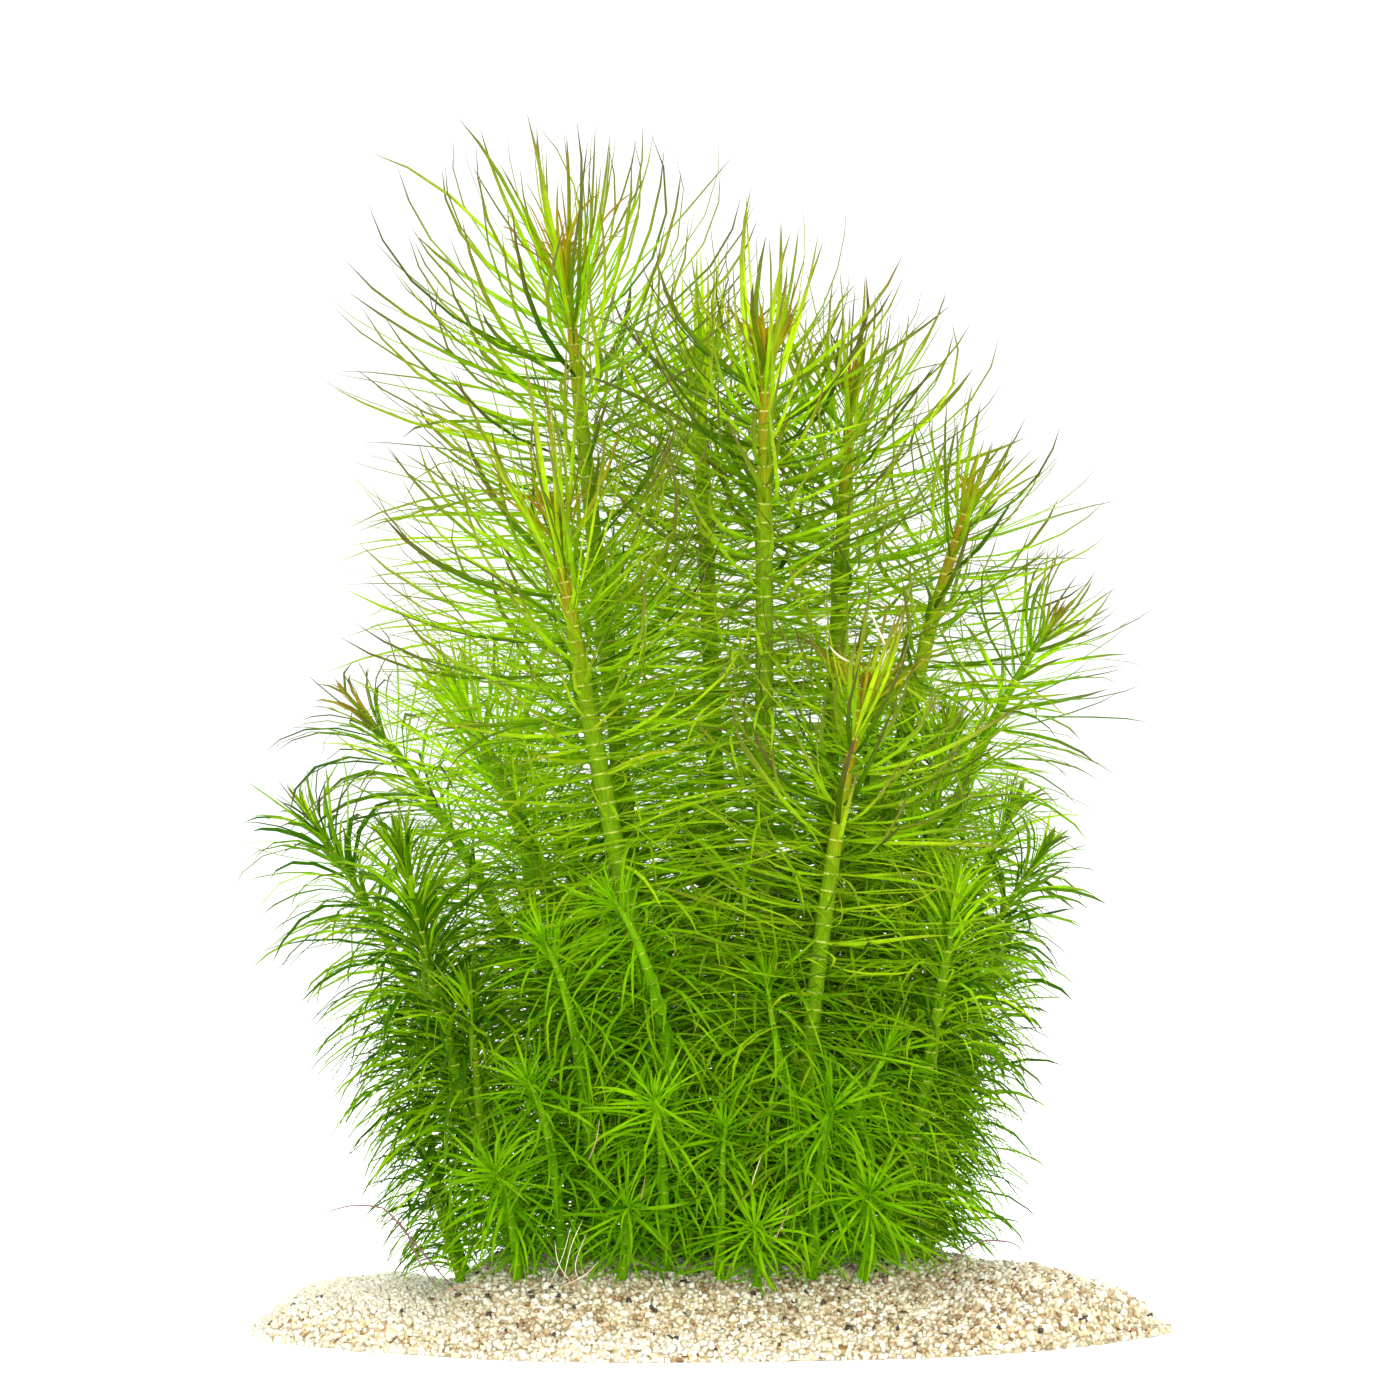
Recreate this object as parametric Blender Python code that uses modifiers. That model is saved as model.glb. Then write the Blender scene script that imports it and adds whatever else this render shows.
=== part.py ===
"""A clump of a whorled, needle-leaved water plant, rooted in a low bed of pale gravel.

Each leafy shoot is one solid: a six-sided stem with rings of pointed leaves drawn out of it.
The gravel bed is another, with a planting hole for every stem.
Lengths are in millimetres until they are handed to Blender, which works in metres.
X runs to the right, Y to the back and Z up, from the middle of the bed's flat underside.
"""

import math

import bmesh
import bpy
import numpy as np
from mathutils import Vector

MM = 0.001

# Gravel bed
BED_HALF_X = 115.0
BED_HALF_Y = 75.0
BED_TOP = 20.0
BED_RIM = 3.5
BED_FLAT = 0.42
BED_FOOT = 1.0
BED_STEPS = 32
LEFT_DIP = 0.5
LEFT_DIP_FROM = 44.0
LEFT_DIP_TO = 66.0
BED_RINGS = (0.0, 0.42, 0.6, 0.76, 0.92, 1.0)
BED_UNDERSIDE = 0.985

# Stems and leaves
SIDES = 6
PLANT_DEPTH = 8.0
FIT_GAP = 0.35
COLLAR = 4.0
HOLE_ABOVE = 4.0
BUD_LENGTH = 5.0
FIRST_WHORL = 3.0
FIRST_STEP = 9.0
STEP_GROWTH = 1.3
LAST_STEP = 28.0
NODE_BAND = 2.4
WHORL_TURN = math.radians(30)
BARE_FOOT = 7.0
UPRIGHT = math.radians(14)
FLAT = math.radians(88)
LEAF_ROOT = 1.3
LEAF_GAP = 0.5

# Ways in which a leaf turns aside, in degrees, and is shortened, so as to clear its neighbours
ASIDE = (0, 8, -8, 16, -16, 24, -24)
LIFTS = (0, -8, 8, -16, 16)
SHARES = (1.0, 0.85, 0.7, 0.55, 0.4)

# Each shoot: name, foot (x, y), tip (x, y, z), reach, opening, leaf length, stem width, finish.
# Reach is 0.5 on a straight stem, and more on one that leans out first and then turns up.
# Opening is how far below the tip the leaves have mostly spread out.
SHOOTS = (
    ("tall_left", (-3, 19), (-34, 20, 268), 0.60, 58, 59, 4.4, "tall"),
    ("tall_front_left", (4, -8), (-36, -20, 202), 0.60, 52, 54, 4.6, "tall"),
    ("tall_centre", (16, 1), (16, -12, 246), 0.50, 55, 50, 4.4, "tall"),
    ("tall_right", (24, 17), (38, 15, 238), 0.62, 60, 50, 4.2, "tall"),
    ("tall_back", (9, 33), (0, 35, 243), 0.55, 55, 44, 4.2, "tall"),
    ("lean_right", (29, 5), (68, 8, 209), 0.56, 42, 47, 4.0, "tall"),
    ("far_right", (38, 20), (88, 5, 176), 0.56, 34, 35, 3.2, "low"),
    ("front_right", (22, -26), (40, -32, 160), 0.45, 45, 44, 4.0, "tall"),
    ("mid_left", (-11, 7), (-61, 5, 159), 0.60, 50, 40, 4.2, "low"),
    ("far_left", (-20, 24), (-83, 15, 152), 0.52, 32, 36, 3.0, "low"),
    ("low_left", (-45, 8), (-97, 5, 127), 0.62, 35, 27, 2.6, "low"),
    ("dense_left", (-42, -12), (-73, -20, 119), 0.66, 40, 30, 3.2, "low"),
    ("star_high", (-2, -22), (-21, -45, 109), 0.55, 22, 36, 3.6, "star"),
    ("star_left", (-25, -20), (-38, -42, 99), 0.55, 22, 32, 3.2, "star"),
    ("star_middle", (-8, -36), (-11, -58, 62), 0.55, 14, 27, 2.8, "star"),
    ("star_small", (5, -40), (6, -55, 55), 0.55, 14, 22, 2.6, "star"),
    ("star_right", (27, -37), (32, -56, 60), 0.55, 14, 26, 2.8, "star"),
    ("star_low_left", (-44, -31), (-50, -52, 44), 0.55, 14, 27, 2.8, "star"),
    ("star_low_centre", (14, -42), (13, -56, 31), 0.55, 10, 26, 2.8, "star"),
    ("star_low_right", (40, -34), (41, -54, 39), 0.55, 14, 26, 2.8, "star"),
    ("star_low_mid", (-19, -40), (-17, -56, 36), 0.55, 12, 24, 2.6, "star"),
    ("star_side_left", (-33, -31), (-42, -50, 66), 0.60, 16, 26, 2.8, "star"),
    ("front_far_right", (45, -18), (63, -28, 112), 0.62, 35, 33, 3.4, "low"),
    ("low_right", (48, 0), (86, 0, 120), 0.58, 35, 27, 2.6, "low"),
    ("back_far_right", (44, 27), (79, 22, 129), 0.55, 35, 29, 2.8, "low"),
    ("mid_right", (35, -6), (62, -2, 151), 0.60, 40, 33, 3.2, "low"),
    ("edge_left", (-57, 12), (-79, 12, 77), 0.60, 22, 22, 2.2, "low"),
    ("foot_left", (-58, -8), (-75, -10, 52), 0.62, 20, 21, 2.2, "low"),
    ("edge_right", (54, -12), (72, -12, 87), 0.60, 24, 24, 2.4, "low"),
    ("foot_right", (58, 9), (69, 8, 57), 0.60, 20, 22, 2.2, "low"),
    ("back_tall_left", (-12, 33), (-24, 48, 186), 0.60, 50, 40, 4.0, "low"),
    ("back_left", (-26, 36), (-48, 56, 136), 0.60, 40, 33, 3.4, "low"),
    ("back_far_left", (-40, 28), (-72, 44, 98), 0.60, 30, 28, 2.8, "low"),
    ("back_right", (30, 38), (46, 56, 158), 0.60, 45, 36, 3.6, "low"),
    ("back_low_right", (55, 26), (76, 42, 94), 0.60, 28, 27, 2.6, "low"),
    ("back_star_left", (-30, 44), (-38, 60, 50), 0.55, 14, 25, 2.8, "star"),
    ("back_star_centre", (-6, 44), (-10, 60, 62), 0.55, 14, 26, 2.8, "star"),
    ("back_star_right", (16, 46), (18, 61, 42), 0.55, 12, 25, 2.8, "star"),
    ("back_star_side", (40, 42), (46, 59, 54), 0.55, 14, 25, 2.8, "star"),
)

FINISHES = {
    "tall": ((0.19, 0.36, 0.02), 0.45),
    "low": ((0.10, 0.30, 0.01), 0.5),
    "star": ((0.16, 0.45, 0.01), 0.45),
    "gravel": ((0.62, 0.53, 0.40), 0.8),
}


def smooth_step(low, high, value):
    """0 below low, 1 above high and a smooth rise between them."""
    share = min(1.0, max(0.0, (value - low) / (high - low)))
    return share * share * (3 - 2 * share)


def bed_outline(angle):
    """How far the bed's edge bulges out or in at this angle, as a share of its half length."""
    return 1 + 0.022 * math.sin(3 * angle + 0.6) + 0.014 * math.sin(7 * angle + 2.0)


def bed_height(x, y):
    """Height of the gravel: a flat crown that falls to a thin rim, and sooner on the left."""
    angle = math.atan2(y / BED_HALF_Y, x / BED_HALF_X)
    out = math.hypot(x / BED_HALF_X, y / BED_HALF_Y) / bed_outline(angle)
    lumps = 0.5 * math.sin(x / 9 + 1) * math.cos(y / 8) + 0.35 * math.sin(x / 5 - y / 6)
    crown = 1 - smooth_step(BED_FLAT, BED_FOOT, out)
    crown *= 1 - LEFT_DIP * smooth_step(LEFT_DIP_FROM, LEFT_DIP_TO, -x)
    return BED_RIM + (BED_TOP - BED_RIM) * crown + lumps * (1 - out) * crown


def finish(name):
    """The material of this name, made on first use."""
    material = bpy.data.materials.get(name)
    if material is None:
        colour, roughness = FINISHES[name]
        material = bpy.data.materials.new(name)
        material.use_nodes = True
        shader = material.node_tree.nodes["Principled BSDF"]
        shader.inputs["Base Color"].default_value = (*colour, 1)
        shader.inputs["Roughness"].default_value = roughness
        shader.inputs["Metallic"].default_value = 0
    return material


def collection(name):
    """A collection in the scene, made on first use."""
    found = bpy.data.collections.get(name)
    if found is None:
        found = bpy.data.collections.new(name)
        bpy.context.scene.collection.children.link(found)
    return found


def add_object(name, mesh, place, group):
    """Links a mesh, drawn round its own origin, into a collection at a place given in millimetres."""
    thing = bpy.data.objects.new(name, mesh)
    thing.location = place * MM
    collection(group).objects.link(thing)
    return thing


def mesh_from(bm, name, place):
    """A Blender mesh in metres, round the given place, of a bmesh that was drawn in millimetres."""
    bmesh.ops.recalc_face_normals(bm, faces=bm.faces[:])
    for vert in bm.verts:
        vert.co = (vert.co - place) * MM
    mesh = bpy.data.meshes.new(name)
    bm.to_mesh(mesh)
    bm.free()
    return mesh


class Stem:
    """One stem's centre line, measured downwards from its growing tip."""

    SAMPLES = 48

    def __init__(self, number, foot, tip, reach, width):
        foot = Vector((*foot, bed_height(*foot) - PLANT_DEPTH))
        tip = Vector(tip)
        rise = tip - foot
        bend = foot + Vector((rise.x * reach, rise.y * reach, rise.z * 0.5))
        shares = [i / self.SAMPLES for i in range(self.SAMPLES + 1)]
        self.line = [tip.lerp(bend, t).lerp(bend.lerp(foot, t), t) for t in shares]
        self.downs = [0.0]
        for above, below in zip(self.line, self.line[1:]):
            self.downs.append(self.downs[-1] + (below - above).length)
        self.length = self.downs[-1]
        self.width = width
        self.number = number
        self.collar = self.length - PLANT_DEPTH - COLLAR
        self.bud = tip + (tip - bend).normalized() * BUD_LENGTH

    def at(self, down):
        """The point this far below the tip, and the turn that sets +Z along the stem there."""
        place = min(int(np.searchsorted(self.downs, down)), self.SAMPLES)
        upper = max(place - 1, 0)
        above, below = self.line[upper], self.line[upper + 1]
        share = (down - self.downs[upper]) / (self.downs[upper + 1] - self.downs[upper])
        return above.lerp(below, share), (above - below).to_track_quat("Z", "Y")

    def radius(self, down):
        """Thin where the stem is young, and a little thicker towards the foot."""
        young = 1 - math.exp(-(down + 4) / 14)
        return self.width / 2 * young * (1 + 0.15 * down / self.length)

    def whorls(self):
        """How far below the tip each ring of leaves grows."""
        down, step = FIRST_WHORL, FIRST_STEP
        while down < self.length - PLANT_DEPTH - BARE_FOOT:
            yield down
            down += step
            step = min(step * STEP_GROWTH, LAST_STEP)


class Thicket:
    """Every stem and leaf so far, as tapered sticks, so that a new leaf can keep clear of them."""

    ROOM = 12000

    def __init__(self):
        self.count = 0
        self.starts = np.zeros((self.ROOM, 3))
        self.ends = np.zeros((self.ROOM, 3))
        self.radii = np.zeros((self.ROOM, 2))
        self.owners = np.zeros(self.ROOM, int)

    def add(self, start, end, radius, end_radius, owner):
        self.starts[self.count] = start
        self.ends[self.count] = end
        self.radii[self.count] = radius, end_radius
        self.owners[self.count] = owner
        self.count += 1

    def near(self, point, reach, own):
        """The starts, ends and radii of the sticks within reach, but for those of these owners."""
        starts, ends = self.starts[: self.count], self.ends[: self.count]
        halves = np.linalg.norm(ends - starts, axis=1) / 2
        away = np.linalg.norm((starts + ends) / 2 - point, axis=1)
        kept = (away < reach + halves + 4) & ~np.isin(self.owners[: self.count], own)
        return starts[kept], ends[kept], self.radii[: self.count][kept]

    def clear(self, root, points, radius, own):
        """For each of the points, whether a leaf from the root to it keeps its gap to the rest."""
        ours = np.array(points) - root
        first, last, radii = self.near(root, np.linalg.norm(ours, axis=1).max(), own)
        theirs = last - first
        apart = root - first
        length = (ours * ours).sum(1)[:, None]
        lengths = (theirs * theirs).sum(1)
        along = ours @ theirs.T
        behind = ours @ apart.T
        beside = (theirs * apart).sum(1)
        spread = np.maximum(length * lengths - along * along, 1e-9)
        s = np.clip((along * beside - behind * lengths) / spread, 0, 1)
        t = np.clip((along * s + beside) / lengths, 0, 1)
        s = np.clip((along * t - behind) / length, 0, 1)
        gaps = apart + s[..., None] * ours[:, None] - t[..., None] * theirs
        thick = radius * (1 - s) + radii[:, 0] * (1 - t) + radii[:, 1] * t
        return (np.linalg.norm(gaps, axis=2) > thick + LEAF_GAP).all(axis=1)


def over_gravel(start, end):
    """Whether a leaf stays above the gravel all the way to its point."""
    for share in (0.35, 0.7, 1.0):
        point = start.lerp(end, share)
        if point.z < bed_height(point.x, point.y) + 1.2:
            return False
    return True


def spread_angle(down, opening):
    """A leaf's angle from the stem: upright at the tip, and flat further down."""
    return UPRIGHT + (FLAT - UPRIGHT) * (1 - math.exp(-down / opening))


def leaf_length(down, longest, opening):
    """Short in the bud, longest just below it, and a little shorter on the old stem."""
    young = 0.55 + 0.45 * min(1.0, down / (0.2 * opening))
    return longest * young * (1 - 0.22 * smooth_step(90, 220, down))


def leaf_point(root, outward, upward, angle, length, own, thicket):
    """Where a leaf ends: along its own angle if that is free, or else turned aside or shortened."""
    ends = []
    for share in SHARES:
        for lift in LIFTS:
            for aside in ASIDE:
                tilt = angle + math.radians(lift)
                side = outward.cross(upward) * math.sin(math.radians(aside))
                out = outward * math.cos(math.radians(aside)) + side
                end = root + (upward * math.cos(tilt) + out * math.sin(tilt)) * length * share
                if over_gravel(root, end):
                    ends.append(end)
    if not ends:
        return None
    free = thicket.clear(np.array(root), ends, LEAF_ROOT, own)
    return ends[int(free.argmax())] if free.any() else None


def raise_cap(bm, cap, ring):
    """Extrudes the cap of a stem. Returns the new cap and its corners, in the old ring's order."""
    grown = bmesh.ops.extrude_face_region(bm, geom=[cap])["geom"]
    if len(cap.edges[0].link_faces) > 2:
        bmesh.ops.delete(bm, geom=[cap], context="FACES_ONLY")
    corners = {item for item in grown if isinstance(item, bmesh.types.BMVert)}
    new_cap = next(item for item in grown if isinstance(item, bmesh.types.BMFace))
    new_ring = []
    for vert in ring:
        reached = (edge.other_vert(vert) for edge in vert.link_edges)
        new_ring.append(next(other for other in reached if other in corners))
    return new_cap, new_ring


def place_ring(ring, centre, tilt, radius, turn=0.0):
    """Moves a ring's corners to their places round a point."""
    for i, vert in enumerate(ring):
        angle = turn + i * math.tau / SIDES
        vert.co = centre + tilt @ Vector((math.cos(angle), math.sin(angle), 0)) * radius


def grow_shoot(name, stem, opening, longest, thicket):
    """A six-sided stem, extruded ring by ring from its foot, with a leaf drawn from each node face."""
    bm = bmesh.new()
    bmesh.ops.create_circle(bm, cap_ends=True, segments=SIDES, radius=stem.width / 2)
    cap = bm.faces[:][0]
    ring = list(cap.verts)
    place_ring(ring, *stem.at(stem.length), stem.radius(stem.length))
    cap, ring = raise_cap(bm, cap, ring)
    place_ring(ring, *stem.at(stem.collar), stem.radius(stem.collar))
    nodes = []
    turn = 0.0
    for down in reversed(list(stem.whorls())):
        cap, low = raise_cap(bm, cap, ring)
        place_ring(low, *stem.at(down + NODE_BAND), stem.radius(down + NODE_BAND), turn)
        cap, ring = raise_cap(bm, cap, low)
        place_ring(ring, *stem.at(down), stem.radius(down), turn)
        nodes.append((down, turn, low, ring))
        turn += WHORL_TURN
    _, ring = raise_cap(bm, cap, ring)
    bmesh.ops.pointmerge(bm, verts=ring, merge_co=stem.bud)
    for down, turn, low, high in reversed(nodes):
        middle, tilt = stem.at(down + NODE_BAND / 2)
        whorl = thicket.count
        upward = tilt @ Vector((0, 0, 1))
        for i in range(SIDES):
            angle = turn + (i + 0.5) * math.tau / SIDES
            outward = tilt @ Vector((math.cos(angle), math.sin(angle), 0))
            root = middle + outward * stem.radius(down) * 0.9
            length = leaf_length(down, longest, opening)
            angle = spread_angle(down, opening)
            own = (stem.number, whorl)
            end = leaf_point(root, outward, upward, angle, length, own, thicket)
            if end is None:
                continue
            thicket.add(root, end, LEAF_ROOT, 0.0, whorl)
            after = (i + 1) % SIDES
            face = bm.faces.get((low[i], low[after], high[after], high[i]))
            blade = bmesh.ops.extrude_discrete_faces(bm, faces=[face])["faces"][0]
            bmesh.ops.pointmerge(bm, verts=blade.verts[:], merge_co=end)
    return mesh_from(bm, name, stem.line[-1])


def planting_hole(name, stem):
    """The cutter for a stem's hole: the stem's own section, a little wider and deeper."""
    bm = bmesh.new()
    bmesh.ops.create_circle(bm, cap_ends=True, segments=SIDES, radius=stem.width / 2)
    cap = bm.faces[:][0]
    ring = list(cap.verts)
    foot, foot_tilt = stem.at(stem.length)
    collar, collar_tilt = stem.at(stem.collar)
    along = (collar - foot).normalized()
    radius = stem.radius(stem.length) + FIT_GAP
    place_ring(ring, foot - along * FIT_GAP, foot_tilt, radius)
    cap, ring = raise_cap(bm, cap, ring)
    place_ring(ring, collar + along * HOLE_ABOVE, collar_tilt, radius)
    hole = add_object(name, mesh_from(bm, name, foot), foot, "cutters")
    hole.hide_render = True
    hole.display_type = "WIRE"


def turned_bed():
    """The bed as a turned disc of radius 1: its profile, spun by a Screw modifier."""
    profile = [(out, 1.0) for out in BED_RINGS] + [(BED_UNDERSIDE, 0.0), (0.0, 0.0)]
    mesh = bpy.data.meshes.new("bed_profile")
    edges = [(i, i + 1) for i in range(len(profile) - 1)]
    mesh.from_pydata([(out, 0, up) for out, up in profile], edges, [])
    disc = add_object("bed_disc", mesh, Vector((0, 0, 0)), "cutters")
    screw = disc.modifiers.new("turn", "SCREW")
    screw.axis = "Z"
    screw.angle = math.tau
    screw.steps = BED_STEPS
    screw.render_steps = BED_STEPS
    screw.use_merge_vertices = True
    screw.merge_threshold = 0.0001
    bpy.context.view_layer.update()
    graph = bpy.context.evaluated_depsgraph_get()
    turned = bpy.data.meshes.new_from_object(disc.evaluated_get(graph))
    bpy.data.objects.remove(disc)
    return turned


def gravel_bed():
    """The turned disc, drawn out to the bed's outline and lifted to its height, with every hole cut."""
    bm = bmesh.new()
    bm.from_mesh(turned_bed())
    bmesh.ops.remove_doubles(bm, verts=bm.verts[:], dist=0.0001)
    for vert in bm.verts:
        angle = math.atan2(vert.co.y, vert.co.x)
        out = math.hypot(vert.co.x, vert.co.y) * bed_outline(angle)
        x = out * math.cos(angle) * BED_HALF_X
        y = out * math.sin(angle) * BED_HALF_Y
        vert.co = (x, y, bed_height(x, y) * vert.co.z)
    bed = add_object("gravel_bed", mesh_from(bm, "gravel_bed", Vector()), Vector(), "plant")
    bed.data.materials.append(finish("gravel"))
    holes = bed.modifiers.new("planting holes", "BOOLEAN")
    holes.operation = "DIFFERENCE"
    holes.solver = "EXACT"
    holes.operand_type = "COLLECTION"
    holes.collection = collection("cutters")
    return bed


def plant_shoots():
    """Every shoot, and the hole that it stands in."""
    thicket = Thicket()
    stems = {}
    for place, (name, foot, tip, reach, _, _, width, _) in enumerate(SHOOTS):
        stem = stems[name] = Stem(-1 - place, foot, tip, reach, width)
        for i in range(stem.SAMPLES):
            radius = stem.radius(stem.downs[i + 1])
            thicket.add(stem.line[i], stem.line[i + 1], radius, radius, stem.number)
        thicket.add(stem.line[0], stem.bud, stem.radius(FIRST_WHORL), 0.3, stem.number)
    for name, _, _, _, opening, longest, _, look in SHOOTS:
        stem = stems[name]
        mesh = grow_shoot(name, stem, opening, longest, thicket)
        mesh.materials.append(finish(look))
        add_object(name, mesh, stem.line[-1], "plant")
        planting_hole(name + "_hole", stem)


def main():
    for thing in list(bpy.data.objects):
        bpy.data.objects.remove(thing)
    plant_shoots()
    gravel_bed()


main()
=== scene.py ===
import math

import bpy
import numpy as np
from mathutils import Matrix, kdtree


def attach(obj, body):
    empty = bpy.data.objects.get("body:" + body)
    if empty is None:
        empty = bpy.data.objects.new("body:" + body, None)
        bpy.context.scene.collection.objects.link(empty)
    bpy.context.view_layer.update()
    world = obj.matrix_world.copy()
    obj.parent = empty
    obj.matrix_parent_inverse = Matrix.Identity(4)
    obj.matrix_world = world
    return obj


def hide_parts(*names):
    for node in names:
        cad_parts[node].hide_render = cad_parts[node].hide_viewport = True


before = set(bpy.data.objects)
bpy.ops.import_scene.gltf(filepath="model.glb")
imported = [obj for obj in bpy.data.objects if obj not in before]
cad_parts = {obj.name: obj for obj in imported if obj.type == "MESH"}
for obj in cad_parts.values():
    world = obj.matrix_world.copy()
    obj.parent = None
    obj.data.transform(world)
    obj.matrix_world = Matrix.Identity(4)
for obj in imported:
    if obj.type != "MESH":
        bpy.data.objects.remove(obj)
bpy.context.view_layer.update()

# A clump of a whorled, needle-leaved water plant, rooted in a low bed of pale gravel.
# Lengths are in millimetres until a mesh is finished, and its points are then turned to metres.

MM = 0.001

# The gravel bed, as the solids have it. Shares are of the way from its middle to its edge.
BED_HALF_X = 115.0
BED_HALF_Y = 75.0
BED_TOP = 20.0
BED_RIM = 3.5
BED_FLAT = 0.42
BED_FOOT = 1.0
LEFT_DIP = 0.5
LEFT_DIP_FROM = 44.0
LEFT_DIP_TO = 66.0
PLANT_DEPTH = 8.0
# The grains heap a little higher near the two ends: how much, from where to where across, and the
# shares between which the heap rises and falls
END_SHOULDER = 5.0
SHOULDER_ACROSS = (55, 80)
SHOULDER_RISE = (0.55, 0.8)
SHOULDER_FALL = (0.88, 0.99)

# Each shoot: foot, tip, reach, opening, leaf length and stem width as the solids have them,
# then the node spacing, the leaves at a node, how coppery its young leaves are and how dark it is.
SHOOTS = {
    "tall_left": ((-3, 19), (-34, 20, 268), 0.60, 58, 64, 4.0, 4.2, 17, 0.9, 0.55, "tall"),
    "tall_front_left": ((4, -8), (-36, -20, 202), 0.60, 52, 57, 4.6, 3.7, 17, 0.9, 0.45, "tall"),
    "tall_centre": ((16, 1), (16, -12, 246), 0.50, 55, 52, 4.4, 4.6, 16, 0.8, 0.6, "tall"),
    "tall_right": ((24, 17), (38, 15, 238), 0.62, 60, 48, 4.2, 4.2, 16, 0.7, 0.5, "tall"),
    "tall_back": ((9, 33), (0, 35, 243), 0.55, 55, 47, 4.2, 4.0, 18, 0.2, 0.15, "tall"),
    "lean_right": ((29, 5), (68, 8, 209), 0.56, 42, 43, 4.0, 4.4, 11, 0.7, 0.5, "tall"),
    "front_right": ((22, -26), (40, -32, 160), 0.45, 45, 44, 4.0, 4.2, 15, 0.9, 0.5, "tall"),
    "far_right": ((38, 20), (88, 5, 176), 0.56, 34, 34, 3.2, 4.4, 9, 0.6, 0.55, "mid"),
    "mid_left": ((-11, 7), (-61, 5, 159), 0.60, 50, 45, 4.2, 4.0, 16, 0.1, 0.1, "mid"),
    "far_left": ((-20, 24), (-83, 15, 152), 0.52, 32, 40, 3.0, 4.6, 9, 0.7, 0.75, "low"),
    "low_left": ((-45, 8), (-97, 5, 127), 0.62, 35, 32, 2.6, 4.0, 10, 0.1, 0.6, "low"),
    "dense_left": ((-42, -12), (-73, -20, 119), 0.66, 40, 32, 3.2, 3.4, 15, 0.0, 0.5, "low"),
    "front_far_right": ((45, -18), (63, -28, 112), 0.62, 35, 26, 3.4, 3.6, 14, 0.0, 0.2, "low"),
    "low_right": ((48, 0), (86, 0, 120), 0.58, 35, 23, 2.6, 3.8, 8, 0.1, 0.6, "low"),
    "back_far_right": ((44, 27), (79, 22, 129), 0.55, 35, 27, 2.8, 4.0, 10, 0.2, 0.4, "low"),
    "mid_right": ((35, -6), (62, -2, 151), 0.60, 40, 29, 3.2, 3.8, 14, 0.2, 0.4, "mid"),
    "edge_left": ((-57, 12), (-75, 12, 77), 0.60, 22, 19, 2.2, 3.4, 7, 0.0, 0.5, "low"),
    "foot_left": ((-57, -8), (-70, -10, 52), 0.62, 20, 18, 2.2, 3.2, 7, 0.0, 0.5, "low"),
    "edge_right": ((54, -12), (65, -12, 87), 0.60, 24, 18, 2.4, 3.4, 7, 0.0, 0.5, "low"),
    "foot_right": ((57, 9), (62, 8, 57), 0.60, 20, 14, 2.2, 3.2, 7, 0.0, 0.5, "low"),
    "back_tall_left": ((-12, 33), (-24, 48, 186), 0.60, 50, 43, 4.0, 4.4, 14, 0.2, 0.2, "mid"),
    "back_left": ((-26, 36), (-48, 56, 136), 0.60, 40, 33, 3.4, 4.0, 12, 0.1, 0.2, "mid"),
    "back_far_left": ((-40, 28), (-72, 44, 98), 0.60, 30, 25, 2.8, 3.8, 11, 0.1, 0.4, "low"),
    "back_right": ((30, 38), (46, 56, 158), 0.60, 45, 36, 3.6, 4.2, 14, 0.2, 0.2, "mid"),
    "back_low_right": ((55, 26), (76, 42, 94), 0.60, 28, 23, 2.6, 3.8, 11, 0.1, 0.4, "low"),
    "star_high": ((-2, -22), (-21, -45, 109), 0.55, 22, 27, 3.6, 4.2, 11, 0.0, 0.0, "star"),
    "star_left": ((-25, -20), (-38, -42, 99), 0.55, 22, 25, 3.2, 4.0, 11, 0.0, 0.1, "star"),
    "star_middle": ((-8, -36), (-11, -58, 62), 0.55, 14, 21, 2.8, 3.6, 10, 0.0, 0.1, "star"),
    "star_small": ((5, -40), (6, -55, 55), 0.55, 14, 18, 2.6, 3.6, 9, 0.0, 0.3, "star"),
    "star_right": ((27, -37), (32, -56, 60), 0.55, 14, 21, 2.8, 3.6, 10, 0.0, 0.2, "star"),
    "star_low_left": ((-44, -31), (-50, -52, 44), 0.55, 14, 20, 2.8, 3.4, 11, 0.0, 0.2, "star"),
    "star_low_centre": ((14, -42), (13, -56, 31), 0.55, 10, 22, 2.8, 3.2, 11, 0.0, 0.05, "star"),
    "star_low_right": ((40, -34), (41, -54, 39), 0.55, 14, 21, 2.8, 3.4, 11, 0.0, 0.15, "star"),
    "star_low_mid": ((-19, -40), (-17, -56, 36), 0.55, 12, 19, 2.6, 3.4, 10, 0.0, 0.4, "star"),
    "star_side_left": ((-33, -31), (-42, -50, 66), 0.60, 16, 20, 2.8, 3.6, 10, 0.0, 0.3, "star"),
    "back_star_left": ((-30, 44), (-38, 60, 50), 0.55, 14, 25, 2.8, 3.8, 10, 0.0, 0.2, "star"),
    "back_star_centre": ((-6, 44), (-10, 60, 62), 0.55, 14, 26, 2.8, 3.8, 10, 0.0, 0.2, "star"),
    "back_star_right": ((16, 46), (18, 61, 42), 0.55, 12, 25, 2.8, 3.8, 10, 0.0, 0.2, "star"),
    "back_star_side": ((40, 42), (46, 59, 54), 0.55, 14, 25, 2.8, 3.8, 10, 0.0, 0.2, "star"),
}
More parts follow.
